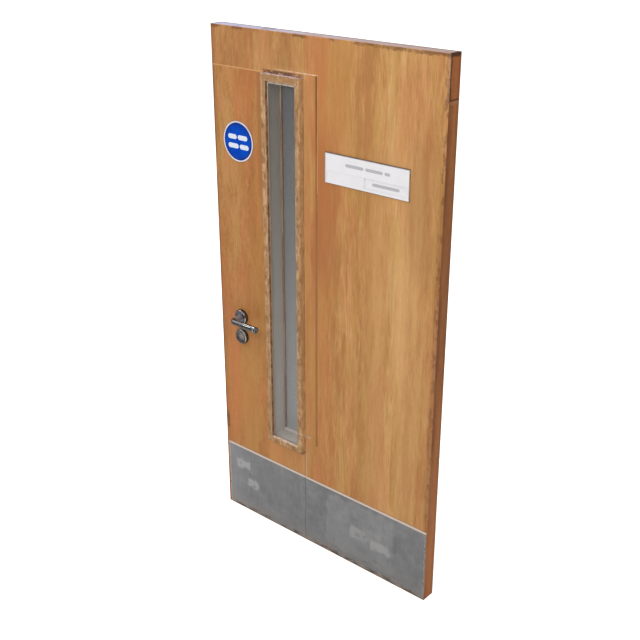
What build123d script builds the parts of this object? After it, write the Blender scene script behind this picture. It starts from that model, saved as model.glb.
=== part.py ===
from build123d import *
import math
import os

# Office door leaf: facing sheets on a timber core, with a glazed vision panel, steel kick plates, lever
# furniture, a round sign and a room plate with a slider. All sizes are in millimetres.
# X runs across the leaf from the lock edge to the hinge edge at x = 0. Y runs through it from the front to
# the back, with y = 0 in the middle of its thickness. Z runs up from the foot of the leaf.

# Leaf
leaf_width = 1045.0
leaf_height = 2040.0
leaf_thickness = 59.0
lipping_thickness = 8.0
facing_thickness = 3.0
facing_joint = 0.6  # open joint between two facing sheets
arris = 1.0  # bevel round the faces of the leaf

# Vision panel, measured over its beads
vision_from_lock_edge = 261.5
vision_above_foot = 416.0
vision_below_head = 144.0
vision_width = 187.0
bead_width = 25.0
bead_depth = 20.0
bead_round = 2.5  # front arrises of a bead
bead_lap = 11.0  # of a bead on the facing
glass_thickness = 6.0
glass_proud = 9.0  # front of a pane before the face of the leaf, in the rebate of the beads
glass_edge_gap = 1.0  # between a pane and the sides of the rebate
fillet_width = 7.0
fillet_depth = 7.0

# Kick plates
kick_from_foot = 4.0
kick_height = 303.0
kick_from_lock_edge = 12.0
kick_from_hinge_edge = 1.0
kick_joint = 1.2  # between the two plates of a side
kick_thickness = 3.0
kick_bevel_width = 6.0
kick_bevel_depth = 1.6

# Lever furniture
spindle_from_lock_edge = 116.0
spindle_above_foot = 915.5
spindle_size = 8.0
spindle_clearance = 0.35  # at the corners of the spindle in its bore
spindle_socket = 30.0  # of the spindle in each lever
disc_diameter = 62.0
disc_thickness = 14.0
disc_rim = 5.0  # width of the flat rim
disc_dish = 5.0  # depth of the floor below the rim
disc_slope = 7.0  # width of the slope from the rim to the floor
escutcheon_below_spindle = 83.5
lever_diameter = 20.0
lever_reach = 139.0  # from the spindle to the tip of the lever
lever_projection = 63.0  # from the face of the leaf to the middle of the grip
lever_elbow_radius = 18.0
lever_running_gap = 0.3  # round the neck in the rose, and behind its end
grip_diameter = 26.0
grip_length = 74.0
grip_bevel = 3.0

# Mortice lock
forend_width = 24.0
forend_height = 235.0
forend_thickness = 3.0
lock_case_thickness = 18.0
lock_case_height = 150.0
lock_case_past_spindle = 22.0
latch_width = 12.0
latch_height = 18.0
latch_throw = 12.0
latch_tail = 30.0
latch_clearance = 0.3
latch_above_spindle = 0.0

# Round sign
round_sign_from_lock_edge = 126.0
round_sign_above_foot = 1626.0
round_sign_diameter = 152.0
round_sign_thickness = 2.5

# Room plate and its slider
plate_from_lock_edge = 551.0
plate_above_foot = 1551.5
plate_width = 360.0
plate_height = 106.5
plate_back = 2.0  # thickness behind the channel
plate_lip = 1.2  # thickness of the lips in front of the channel
plate_end = 8.0  # from an end of the plate to the window
window_from_plate_foot = 9.5
window_height = 36.0
lip_lap = 2.0  # of a lip in front of the slider
slider_length = 165.0
slider_thickness = 1.8
slider_clearance = 0.2
finger_rib_width = 3.0

# Places that several pieces share
lock_edge = -leaf_width
front = -leaf_thickness / 2
core_front = front + facing_thickness
vision_left = lock_edge + vision_from_lock_edge
vision_right = vision_left + vision_width
vision_foot = vision_above_foot
vision_head = leaf_height - vision_below_head
opening_x = (vision_left + bead_lap, vision_right - bead_lap)
opening_z = (vision_foot + bead_lap, vision_head - bead_lap)
glass_front = front - glass_proud
glass_back = glass_front + glass_thickness
rebate_width = bead_width - bead_lap
core_x = (lock_edge + lipping_thickness, -lipping_thickness)
core_y = (core_front, -core_front)
core_z = (lipping_thickness, leaf_height - lipping_thickness)
spindle_x = lock_edge + spindle_from_lock_edge
spindle_z = spindle_above_foot
spindle_bore = spindle_size * math.sqrt(2) / 2 + spindle_clearance
channel_depth = slider_thickness + 2 * slider_clearance
plate_thickness = plate_back + channel_depth + plate_lip


def slab(x, y, z):
    """A block between the (low, high) values on each axis."""
    corner = [low for low, high in (x, y, z)]
    size = [high - low for low, high in (x, y, z)]
    return Pos(*corner) * Box(*size, align=(Align.MIN, Align.MIN, Align.MIN))


def inset(span, margin):
    """A (low, high) pair drawn in by a margin at both ends."""
    return (span[0] + margin, span[1] - margin)


def ring(x, y, z, wall):
    """A rectangular frame of that wall, open through Y."""
    return slab(x, y, z) - slab(inset(x, wall), y, inset(z, wall))


def through_bore(radius):
    """The spindle's way through the leaf."""
    return Pos(spindle_x, 0, spindle_z) * Rot(90, 0, 0) * Cylinder(radius, leaf_thickness)


def forend_space():
    """The housing of the forend in the lock edge."""
    half = forend_height / 2
    x = (lock_edge, lock_edge + forend_thickness)
    y = (-forend_width / 2, forend_width / 2)
    return slab(x, y, (spindle_z - half, spindle_z + half))


def case_space():
    """The mortice of the lock case, from the back of the forend inwards."""
    half = lock_case_height / 2
    x = (lock_edge + forend_thickness, spindle_x + lock_case_past_spindle)
    y = (-lock_case_thickness / 2, lock_case_thickness / 2)
    return slab(x, y, (spindle_z - half, spindle_z + half))


def core():
    """Stiles and rails round the vision panel, between the lippings."""
    lock_stile = slab((core_x[0], opening_x[0]), core_y, core_z)
    return {
        "core_lock_stile": lock_stile - case_space() - through_bore(spindle_bore),
        "core_hinge_stile": slab((opening_x[1], core_x[1]), core_y, core_z),
        "core_head_rail": slab(opening_x, core_y, (opening_z[1], core_z[1])),
        "core_foot_rail": slab(opening_x, core_y, (core_z[0], opening_z[0])),
    }


def lippings():
    """Solid strips round the four edges of the core."""
    whole_height = (0, leaf_height)
    lock_lipping = slab((lock_edge, core_x[0]), core_y, whole_height)
    return {
        "lipping_lock": lock_lipping - forend_space() - case_space(),
        "lipping_hinge": slab((core_x[1], 0), core_y, whole_height),
        "lipping_head": slab(core_x, core_y, (core_z[1], leaf_height)),
        "lipping_foot": slab(core_x, core_y, (0, core_z[0])),
    }


def facings():
    """Front sheets at the head, on the lock side round the vision panel, and on the hinge side."""
    y = (front, core_front)
    whole_face = slab((lock_edge, 0), y, (0, leaf_height))
    whole_face = chamfer(whole_face.faces().sort_by(Axis.Y)[0].edges(), arris)
    half = facing_joint / 2
    lock_x = (lock_edge, vision_right - half)
    lock_sheet = slab(lock_x, y, (0, vision_head - half)) - slab(opening_x, y, opening_z)
    return {
        "facing_head": whole_face & slab(lock_x, y, (vision_head + half, leaf_height)),
        "facing_lock": whole_face & lock_sheet - through_bore(spindle_bore),
        "facing_hinge": whole_face & slab((vision_right + half, 0), y, (0, leaf_height)),
    }


def bead(length):
    """A rebated, mitred bead along +X, its outer edge at z = 0, its back at y = 0, its front towards -Y."""
    section = Rectangle(bead_depth, bead_width, align=(Align.MAX, Align.MIN))
    section -= Pos(0, bead_lap) * Rectangle(glass_proud, rebate_width, align=(Align.MAX, Align.MIN))
    arrises = section.vertices().group_by(Axis.X)[0]
    strip = extrude(Plane.YZ * fillet(arrises, bead_round), length)
    outline = Polygon(
        (0, 0), (length, 0), (length - bead_width, bead_width), (bead_width, bead_width), align=None
    )
    return strip & extrude(Plane.XZ * outline, bead_depth)


def beads():
    """Four front beads, mitred together round the vision panel."""
    upright = bead(vision_head - vision_foot)
    level = bead(vision_width)
    return {
        "bead_lock": Pos(vision_left, front, vision_head) * Rot(0, 90, 0) * upright,
        "bead_hinge": Pos(vision_right, front, vision_foot) * Rot(0, -90, 0) * upright,
        "bead_head": Pos(vision_right, front, vision_head) * Rot(0, 180, 0) * level,
        "bead_sill": Pos(vision_left, front, vision_foot) * level,
    }


def pane():
    """The front pane, in the rebate of the beads."""
    x = inset(opening_x, glass_edge_gap)
    z = inset(opening_z, glass_edge_gap)
    return slab(x, (glass_front, glass_back), z)


def glazing_frames():
    """The spacer frame between the two panes, and the fillets inside it at the rear pane."""
    spacer_y = (glass_back, -glass_back)
    fillet_y = (-glass_back - fillet_depth, -glass_back)
    fillet_x = inset(opening_x, rebate_width)
    fillet_z = inset(opening_z, rebate_width)
    return {
        "spacer_frame": ring(opening_x, spacer_y, opening_z, rebate_width),
        "glazing_fillet": ring(fillet_x, fillet_y, fillet_z, fillet_width),
    }


def kick_plate(x):
    """A front kick plate with a bevelled border."""
    z = (kick_from_foot, kick_from_foot + kick_height)
    plate = slab(x, (front - kick_thickness, front), z)
    face = plate.faces().sort_by(Axis.Y)[0]
    return chamfer(face.edges(), kick_bevel_width, kick_bevel_depth, reference=face)


def kick_plates():
    """Two front plates that meet on the line of the facing joint."""
    half = kick_joint / 2
    return {
        "kick_plate_lock": kick_plate((lock_edge + kick_from_lock_edge, vision_right - half)),
        "kick_plate_hinge": kick_plate((vision_right + half, -kick_from_hinge_edge)),
    }


def furniture_disc(bore):
    """A round plate, dished inside its rim, its back at y = 0 and its front towards -Y."""
    outer = disc_diameter / 2
    rim = outer - disc_rim
    floor = disc_thickness - disc_dish
    half_section = Polygon(
        (bore, 0),
        (outer, 0),
        (outer, disc_thickness),
        (rim, disc_thickness),
        (rim - disc_slope, floor),
        (bore, floor),
        align=None,
    )
    radial = Plane((0, 0, 0), x_dir=(1, 0, 0), z_dir=(0, 0, -1))
    return revolve(radial * half_section, Axis.Y)


def furniture():
    """The front rose round the neck of the lever, and the escutcheon below it."""
    rose = furniture_disc(lever_diameter / 2 + lever_running_gap)
    escutcheon = furniture_disc(0)
    return {
        "rose": Pos(spindle_x, front, spindle_z) * rose,
        "escutcheon": Pos(spindle_x, front, spindle_z - escutcheon_below_spindle) * escutcheon,
    }


def spindle():
    """The square bar that joins the two levers."""
    length = leaf_thickness + 2 * (lever_running_gap + spindle_socket)
    return Pos(spindle_x, 0, spindle_z) * Box(spindle_size, length, spindle_size)


def lever():
    """The front lever: a neck out of the rose, an elbow, and a wider round grip out to its tip."""
    radius = lever_diameter / 2
    grip_y = front - lever_projection
    tip_x = spindle_x + lever_reach
    neck_end = (spindle_x, front - lever_running_gap, spindle_z)
    corner = (spindle_x, grip_y, spindle_z)
    grip_start = (tip_x - grip_length, grip_y, spindle_z)
    route = FilletPolyline(neck_end, corner, grip_start, radius=lever_elbow_radius)
    bar = sweep(Plane(origin=neck_end, z_dir=(0, -1, 0)) * Circle(radius), path=route)
    along_grip = Plane(origin=grip_start, x_dir=(0, 0, 1), z_dir=(1, 0, 0))
    grip = extrude(along_grip * Circle(grip_diameter / 2), grip_length)
    grip = chamfer(grip.edges().group_by(Axis.X)[-1], grip_bevel)
    return bar + grip - spindle()


def mortice_lock():
    """The lock case with its forend, and the bevelled latch bolt that stands out of it."""
    latch_z = spindle_z + latch_above_spindle
    half_height = latch_height / 2
    half_width = latch_width / 2
    tail_x = lock_edge + latch_tail
    nose_x = lock_edge - latch_throw
    outline = Polygon(
        (tail_x, -half_width),
        (tail_x, half_width),
        (lock_edge, half_width),
        (nose_x, -half_width),
        align=None,
    )
    bolt = extrude(Plane.XY.offset(latch_z - half_height) * outline, latch_height)
    way_y = (-half_width - latch_clearance, half_width + latch_clearance)
    way_z = (latch_z - half_height - latch_clearance, latch_z + half_height + latch_clearance)
    bolt_way = slab((lock_edge, tail_x), way_y, way_z)
    return {
        "mortice_lock": forend_space() + case_space() - bolt_way - through_bore(spindle_bore),
        "latch_bolt": bolt,
    }


def round_sign():
    """The round sign on the lock side."""
    disc = Rot(90, 0, 0) * Cylinder(
        round_sign_diameter / 2, round_sign_thickness, align=(Align.CENTER, Align.CENTER, Align.MIN)
    )
    x = lock_edge + round_sign_from_lock_edge
    return Pos(x, front, round_sign_above_foot) * disc


def room_plate():
    """The room plate, with a channel behind its window, and the slider at the lock end of the channel."""
    left = lock_edge + plate_from_lock_edge
    plate_x = (left, left + plate_width)
    plate_z = (plate_above_foot, plate_above_foot + plate_height)
    window_x = inset(plate_x, plate_end)
    window_z = (plate_z[0] + window_from_plate_foot, plate_z[0] + window_from_plate_foot + window_height)
    channel_z = inset(window_z, -lip_lap)
    plate_front = front - plate_thickness
    lip_back = plate_front + plate_lip
    channel_y = (lip_back, lip_back + channel_depth)
    plate = slab(plate_x, (plate_front, front), plate_z)
    plate -= slab(window_x, (plate_front, lip_back), window_z)
    plate -= slab(window_x, channel_y, channel_z)
    slider_x = (window_x[0] + slider_clearance, window_x[0] + slider_clearance + slider_length)
    slider = slab(slider_x, inset(channel_y, slider_clearance), inset(channel_z, slider_clearance))
    rib_x = (slider_x[1] - finger_rib_width, slider_x[1])
    rib = slab(rib_x, (plate_front, channel_y[0] + slider_clearance), inset(window_z, slider_clearance))
    return {"room_plate": plate, "sign_slider": slider + rib}


def on_both_sides(front_pieces):
    """The front pieces, and their mirror images on the back of the leaf."""
    pieces = {}
    for name, piece in front_pieces.items():
        pieces["front_" + name] = piece
        pieces["back_" + name] = mirror(piece, about=Plane.XZ)
    return pieces


one_of_each = {**core(), **lippings(), **glazing_frames(), **mortice_lock(), **room_plate()}
one_of_each["spindle"] = spindle()
one_of_each["round_sign"] = round_sign()
two_of_each = {**facings(), **beads(), **kick_plates(), **furniture(), "glass": pane(), "lever": lever()}

os.makedirs("parts", exist_ok=True)
for node, solid in {**one_of_each, **on_both_sides(two_of_each)}.items():
    export_step(solid, f"parts/{node}.step")
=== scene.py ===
import bpy
import bmesh
import math
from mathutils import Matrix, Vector


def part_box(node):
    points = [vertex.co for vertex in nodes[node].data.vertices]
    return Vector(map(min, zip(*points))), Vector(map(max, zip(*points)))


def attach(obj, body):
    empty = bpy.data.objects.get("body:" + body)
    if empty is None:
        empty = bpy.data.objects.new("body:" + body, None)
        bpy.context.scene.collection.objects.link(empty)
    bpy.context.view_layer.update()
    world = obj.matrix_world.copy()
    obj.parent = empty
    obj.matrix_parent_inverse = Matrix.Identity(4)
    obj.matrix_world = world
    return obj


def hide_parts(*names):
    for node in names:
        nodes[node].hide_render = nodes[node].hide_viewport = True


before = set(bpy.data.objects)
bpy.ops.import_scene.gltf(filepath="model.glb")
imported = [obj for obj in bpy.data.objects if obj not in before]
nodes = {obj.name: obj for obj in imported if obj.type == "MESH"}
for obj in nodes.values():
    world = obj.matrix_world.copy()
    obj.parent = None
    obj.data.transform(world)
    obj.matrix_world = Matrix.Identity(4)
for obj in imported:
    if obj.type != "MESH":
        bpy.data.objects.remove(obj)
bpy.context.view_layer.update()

# The leaf stands with its lock edge at the low end of X, its front towards -Y and its foot at z = 0.
# Lengths are in metres where no note says millimetres, and colours are the 0 to 255 values of a screen.
MM = 0.001
LOCK_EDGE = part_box("lipping_lock")[0].x
HINGE_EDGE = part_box("lipping_hinge")[1].x
LEAF_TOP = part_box("lipping_head")[1].z
FRONT_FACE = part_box("front_facing_hinge")[0].y
BACK_FACE = -FRONT_FACE
JOINT_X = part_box("front_facing_hinge")[0].x  # upright joint between two facing sheets
JOINT_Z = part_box("front_facing_head")[0].z  # level joint between two facing sheets
BEADS_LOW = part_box("front_bead_lock")[0]
BEADS_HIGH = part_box("front_bead_hinge")[1]
BEAD_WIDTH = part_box("front_bead_lock")[1].x - BEADS_LOW.x
KICK_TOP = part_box("front_kick_plate_lock")[1].z
PLATE_LOW, PLATE_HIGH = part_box("room_plate")

OUTWARDS = {"front_": -1, "back_": 1}  # the way each side faces along Y
SEED_SHIFT = {"front_": 0, "back_": 40}  # makes the wood of the two sides differ


def from_lock_edge(millimetres):
    """The x of a place so far from the lock edge."""
    return LOCK_EDGE + millimetres * MM


def disc_of(node):
    """The middle and the radius of a round node."""
    low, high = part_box(node)
    return (low + high) / 2, (high.x - low.x) / 2


HANDLE = disc_of("front_rose")[0]


def colour(tone):
    """A screen colour as the linear RGBA that shaders take."""
    def linear(value):
        share = value / 255
        return share / 12.92 if share <= 0.04045 else ((share + 0.055) / 1.055) ** 2.4
    return [linear(value) for value in tone] + [1.0]


class Value:
    """What a material works out at each place. Reckoning with it adds nodes to the material."""

    def __init__(self, look, socket):
        self.look = look
        self.socket = socket

    def __add__(self, other):
        return self.look.math("ADD", self, other)

    def __sub__(self, other):
        return self.look.math("SUBTRACT", self, other)

    def __rsub__(self, other):
        return self.look.math("SUBTRACT", other, self)

    def __mul__(self, other):
        return self.look.math("MULTIPLY", self, other)

    def __abs__(self):
        return self.look.math("ABSOLUTE", self)


class Look:
    """One procedural material. Its calls add nodes and return their values."""

    MIX_UNDER, MIX_OVER, MIX_RESULT = 6, 7, 2  # the colour sockets of a Mix node
    SEED_STEP = (1.0, 1.7, 2.3)  # how far a seed of 1 moves the noise along each axis

    def __init__(self, name, seed=0, roughness=0.5, metallic=0.0, specular=0.5):
        self.seed = seed
        self.material = bpy.data.materials.new(name)
        self.material.use_nodes = True
        self.nodes = self.material.node_tree.nodes
        self.shader = self.nodes["Principled BSDF"]
        self.finish(Roughness=roughness, Metallic=metallic, Specular_IOR_Level=specular)
        self.place = self.add("TexCoord", "Object")
        axes = self.add("SeparateXYZ", 0, {0: self.place}).socket.node
        self.x, self.y, self.z = (Value(self, output) for output in axes.outputs)

    def feed(self, socket, value):
        """Links a value to a socket, or sets the socket to a constant."""
        if isinstance(value, Value):
            self.material.node_tree.links.new(value.socket, socket)
        else:
            socket.default_value = value

    def add(self, kind, output, inputs=None, **settings):
        """Adds a node with these inputs and settings, and returns one of its outputs."""
        node = self.nodes.new("ShaderNode" + kind)
        for name, setting in settings.items():
            setattr(node, name, setting)
        for name, value in (inputs or {}).items():
            self.feed(node.inputs[name], value)
        return Value(self, node.outputs[output])

    def finish(self, **inputs):
        """Feeds the shader's inputs, named with underscores for spaces, and returns the material."""
        for name, value in inputs.items():
            self.feed(self.shader.inputs[name.replace("_", " ")], value)
        return self.material

    def math(self, operation, first, second=0.0):
        return self.add("Math", 0, {0: first, 1: second}, operation=operation)

    def most(self, first, *others):
        for other in others:
            first = self.math("MAXIMUM", first, other)
        return first

    def length(self, across, up):
        return self.math("SQRT", across * across + up * up)

    def about(self, centre):
        """How far a place on the face is from a centre: across, up and straight."""
        across = self.x - centre.x
        up = self.z - centre.z
        return across, up, self.length(across, up)

    def step(self, value, low, high):
        """0 at low and 1 at high, with a smooth rise between. Low may be the larger one."""
        inputs = {"Value": value, "From Min": low, "From Max": high}
        return self.add("MapRange", "Result", inputs, interpolation_type="SMOOTHSTEP")

    def span(self, value, low, high, soft):
        """1 between low and high, fading to 0 over a soft border outside."""
        return self.step(value, low - soft, low) * self.step(value, high + soft, high)

    def noise(self, cells, offset=0, detail=3.0, roughness=0.5, distortion=0.0):
        """Noise with so many cells to the metre on each axis. Each offset from the seed gives another one."""
        shift = [move * (self.seed + offset) for move in self.SEED_STEP]
        place = self.add("Mapping", 0, {"Vector": self.place, "Location": shift, "Scale": cells})
        return self.add("TexNoise", "Fac", {"Vector": place, "Scale": 1.0, "Detail": detail,
                                            "Roughness": roughness, "Distortion": distortion})

    def patches(self, cells, offset, low, high, detail=4.0):
        """Noise cut into patches with soft borders."""
        return self.step(self.noise(cells, offset, detail, roughness=0.6), low, high)

    def ramp(self, factor, *stops):
        """Colours along a factor, as (position, colour) pairs."""
        result = self.add("ValToRGB", 0, {0: factor})
        elements = result.socket.node.color_ramp.elements
        while len(elements) < len(stops):
            elements.new(0.5)
        for element, (position, tone) in zip(elements, stops):
            element.position = position
            element.color = colour(tone)
        return result

    def mix(self, factor, under, over):
        """Goes from one colour to another, each of them a constant or a value."""
        under, over = (tone if isinstance(tone, Value) else colour(tone) for tone in (under, over))
        inputs = {"Factor": factor, self.MIX_UNDER: under, self.MIX_OVER: over}
        return self.add("Mix", self.MIX_RESULT, inputs, data_type="RGBA")

    def stain(self, under, *layers):
        """Lays colours over one another, each given as (mask, strength, colour)."""
        for mask, strength, tone in layers:
            under = self.mix(mask * strength, under, tone)
        return under

    def bump(self, height, strength, distance):
        return self.add("Bump", 0, {"Strength": strength, "Distance": distance, "Height": height})


# Layers of the grain: cells to the metre across and along it, offset, distortion and share of the figure
GRAIN = ((4.2, 0.25, 1, 0.6, 0.42),  # bands
         (24, 2.4, 3, 0.5, 0.2),  # streaks
         (75, 9, 5, 0.4, 0.2),  # fibres
         (260, 30, 7, 0.0, 0.18))  # hairs
PORES = (900, 45, 9)  # cells across and along, and offset
PORE_DEPTH = 0.4 * MM


def wood_figure(look, along_x=False, shortness=1.0):
    """Straight grain along Z or X as a value round 0.5, and a mask of its pores."""
    def grain(across, along, offset, distortion=0.0, detail=2.0):
        along *= shortness
        cells = (along, across, across) if along_x else (across, across, along)
        return look.noise(cells, offset, detail, distortion=distortion)
    first, *others = (grain(*layer) * share for *layer, share in GRAIN)
    return sum(others, first), look.step(grain(*PORES, detail=1), 0.36, 0.28)


def sheet_wear(look):
    """Marks of a facing sheet at the leaf's edges, along the joints and round the vision panel. Beside and
    below the beads it is painted lighter, as light against their shade, and over the kick plate runs a
    painted shadow line.
    """
    x, z = look.x, look.z
    from_lock = x - LOCK_EDGE
    from_hinge = HINGE_EDGE - x
    from_top = LEAF_TOP - z
    ragged = (look.noise((45, 45, 70), 17, detail=5, roughness=0.65) - 0.5) * 0.03
    smears = look.step(from_top + ragged, 0.014, 0.006) * look.patches((10, 10, 10), 19, 0.43, 0.56, detail=3)
    spots = look.step(look.noise((52, 52, 26), 21, detail=4, roughness=0.7), 0.5, 0.58)
    dots = spots * look.step(from_hinge, 0.024, 0.006)
    above_joint = look.step(z, JOINT_Z - 0.04, JOINT_Z)
    here_and_there = look.patches((9, 9, 6), 25, 0.44, 0.56) * 0.35
    rubbed = look.step(from_hinge + ragged, 0.0125, 0.0065) * look.most(above_joint, here_and_there)
    edge_line = look.step(from_lock, 0.0085, 0.005) * look.patches((20, 20, 8), 23, 0.34, 0.5)
    left_of_panel = look.step(x, BEADS_LOW.x, BEADS_LOW.x - 0.004)
    level_joint = look.step(abs(z - JOINT_Z), 0.0032, 0.0012) * left_of_panel
    over_panel = look.step(z, JOINT_Z - 0.02, JOINT_Z)
    upright_joint = look.step(abs(x - JOINT_X), 0.0034, 0.0012) * over_panel
    below_panel = look.step(z, BEADS_LOW.z, BEADS_LOW.z - 0.01)
    joint_pale = look.span(x, JOINT_X + 0.0005, JOINT_X + 0.003, 0.0015) * below_panel
    joint_dark = look.span(x, JOINT_X - 0.003, JOINT_X - 0.001, 0.001) * below_panel
    over_head = (look.span(z, JOINT_Z - 0.001, JOINT_Z + 0.0085, 0.004)
                 * look.span(x, BEADS_LOW.x, BEADS_HIGH.x, 0.003))
    # A darker band in patches over the head bead.
    dark_over_head = (over_head * look.patches((42, 30, 110), 29, 0.38, 0.5)
             * look.step(x, from_lock_edge(500), from_lock_edge(380)))
    pink_dirt = over_head * look.patches((70, 70, 120), 33, 0.4, 0.56)
    from_beads = look.most(BEADS_LOW.x - x, x - BEADS_HIGH.x, BEADS_LOW.z - z, z - BEADS_HIGH.z)
    beside_beads = look.step(from_beads, 0.003, 0.0006) * look.patches((35, 35, 14), 31, 0.4, 0.56)
    # Painted light: the sheet beside the beads is lightened against the shade that the beads cast.
    painted_light_side = look.step(x, BEADS_LOW.x - 0.005, BEADS_LOW.x + 0.02)
    painted_light_wide = look.step(from_beads, 0.04, 0.006) * painted_light_side
    painted_light_near = look.step(from_beads, 0.012, 0.0) * painted_light_side
    # Lighter under the panel: partly painted light against the shade below the sill bead, partly paler wood
    # than the flames.
    under_panel = look.step(z, BEADS_LOW.z + 0.01, BEADS_LOW.z) * look.span(x, BEADS_LOW.x, JOINT_X, 0.03)
    more_above = look.step(z, 1.5, 1.7) * 0.5 + 0.5
    by_lock_edge = look.step(from_lock, 0.034, 0.008) * more_above
    by_hinge_edge = look.step(from_hinge, 0.026, 0.006) * look.step(z, 1.75, 1.5)
    left_of_beads = (look.span(x, BEADS_LOW.x - 0.03, BEADS_LOW.x, 0.014) * look.step(z, 1.15, 1.7)
                     * look.step(z, JOINT_Z, JOINT_Z - 0.006))
    blotch = look.step(from_lock + ragged, 0.024, 0.012) * look.span(z, 0.385, 0.435, 0.025)
    # A painted shadow line just over the kick plate.
    shadow_over_plate = look.span(z, KICK_TOP, KICK_TOP + 0.003, 0.003)
    brown = (96, 58, 34)
    # The colour of the painted light beside the beads.
    painted_light = (246, 194, 137)
    return [
        (painted_light_wide, 0.2, painted_light),
        (painted_light_near, 0.28, painted_light),
        (under_panel, 0.4, (206, 150, 92)),
        (left_of_beads, 0.42, (140, 88, 50)),
        (by_lock_edge, 0.5, (146, 88, 48)),
        (blotch, 0.65, (92, 52, 26)),
        (by_hinge_edge, 0.42, (136, 84, 44)),
        (shadow_over_plate, 0.4, (150, 128, 114)),
        (level_joint, 0.75, (226, 172, 118)),
        (upright_joint, 0.5, (214, 162, 108)),
        (joint_pale, 0.7, (212, 180, 148)),
        (joint_dark, 0.6, (100, 74, 56)),
        (beside_beads, 0.4, brown),
        (pink_dirt, 0.6, (176, 130, 110)),
        (dark_over_head, 0.8, (86, 58, 48)),
        (edge_line, 0.75, (116, 66, 34)),
        (rubbed, 0.6, (172, 130, 104)),
        (dots, 0.6, (124, 78, 44)),
        (smears, 0.65, brown),
    ]


CROWN_WIDTH = 0.036
CROWN_PITCH = 0.16  # from one arch to the next, up the middle
CROWN_REACH = 0.06  # of the figure to either side of the middle
CROWN_SWAY = 0.12  # of the arches sideways
CROWN_SLIP = 2.0  # of the arches up and down, in pitches
CROWN_TONE = (178, 106, 56)


def crown(look, centre, foot, head):
    """A mask of nested arches, as where a sheet is cut across the rings. Its place is in millimetres."""
    middle = from_lock_edge(centre)
    wander = look.noise((5, 5, 1.2), 39, detail=2) - 0.5
    aside = (look.x - middle + wander * CROWN_SWAY) * (1 / CROWN_WIDTH)
    arches = look.z * (1 / CROWN_PITCH) + aside * aside + wander * CROWN_SLIP
    wave = look.math("SINE", arches * (2 * math.pi))
    return (look.step(wave, -0.4, 1.0) * look.span(look.z, foot * MM, head * MM, 0.15)
            * look.span(look.x, middle - CROWN_REACH, middle + CROWN_REACH, 0.07))


def veneer(name, seed_shift, seed, tones, redness, flame, shortness, bands, crowns):
    """A facing sheet: straight grain with reddish flames, lacquered, stained at its borders."""
    look = Look(name, seed + seed_shift, specular=0.2)
    figure, pores = wood_figure(look, shortness=shortness)
    wood = look.ramp(figure, *zip((0.41, 0.5, 0.59), tones))
    flames = look.step(look.noise((6, 6, 0.7), 11, detail=4, distortion=0.9), 0.4, 0.7)
    by_joint = look.step(look.x, JOINT_X + 0.34, JOINT_X + 0.02)
    wood = look.mix(flames * (by_joint * flame + redness), wood, (190, 118, 67))
    tint = look.noise((20, 20, 2.5 * shortness), 13, detail=4, distortion=0.6)
    wood = look.stain(wood, (look.step(tint, 0.5, 0.62), 0.3, (196, 124, 80)),
                      (look.step(tint, 0.5, 0.38), 0.33, (184, 142, 73)))
    ragged = look.x + (tint - 0.5) * 0.12
    for left, right, foot, head, strength, tone in bands:
        band = (look.span(ragged, from_lock_edge(left), from_lock_edge(right), 0.03)
                * look.span(look.z, foot * MM, head * MM, 0.25))
        wood = look.stain(wood, (band, strength, tone))
    for *place, strength in crowns:
        wood = look.stain(wood, (crown(look, *place), strength, CROWN_TONE))
    wood = look.stain(wood, (pores, 0.3, (120, 74, 40)), *sheet_wear(look))
    gloss = look.noise((12, 12, 5), 37) * 0.3 + 0.36
    return look.finish(Base_Color=wood, Roughness=gloss, Normal=look.bump(pores, -0.15, PORE_DEPTH))


def edge_wood(name, seed, along_x=False):
    """Solid edging: redder and darker than the sheets, with grain along its length."""
    look = Look(name, seed, specular=0.1)
    z = look.z
    figure, pores = wood_figure(look, along_x)
    wood = look.ramp(figure, (0.4, (128, 77, 43)), (0.6, (174, 113, 65)))
    above = look.step(z, JOINT_Z - 0.001, JOINT_Z + 0.001)
    from_front = look.y - FRONT_FACE
    ragged = (look.noise((60, 60, 30), 11, detail=4) - 0.5) * 0.012
    black_line = look.step(from_front + ragged, 0.012, 0.006) * above
    front_shade = look.step(from_front, 0.03, 0.006) * look.patches((20, 20, 5), 7, 0.36, 0.6)
    rear_shade = look.step(from_front, 0.036, 0.057)
    top_band = look.step(z + ragged, LEAF_TOP - 0.015, LEAF_TOP - 0.008)
    joint = look.step(abs(z - JOINT_Z), 0.0042, 0.0014)
    below_joint = look.span(z, JOINT_Z - 0.012, JOINT_Z - 0.004, 0.004)
    handled = look.span(z, 1.1, 1.6, 0.35)
    # Lighter near the foot, which eases the painted shade there.
    near_foot = look.step(z, 0.8, 0.4)
    blotches = look.patches((26, 26, 10), 9, 0.5, 0.66)
    wood = look.stain(
        wood,
        (above, 0.5, (168, 92, 48)),
        (blotches, 0.4, (164, 96, 56)),
        (front_shade, 0.55, (104, 58, 34)),
        (rear_shade, 0.34, (98, 56, 36)),
        (near_foot, 0.3, (196, 126, 80)),
        (handled, 0.24, (100, 54, 32)),
        (below_joint, 0.35, (180, 124, 92)),
        (joint, 0.8, (78, 46, 30)),
        (black_line, 0.85, (54, 40, 30)),
        (top_band, 0.85, (52, 36, 28)),
        (pores, 0.35, (80, 44, 26)),
    )
    gloss = look.noise((18, 18, 6), 37) * 0.3 + 0.4
    return look.finish(Base_Color=wood, Roughness=gloss, Normal=look.bump(pores, -0.2, PORE_DEPTH))


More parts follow.
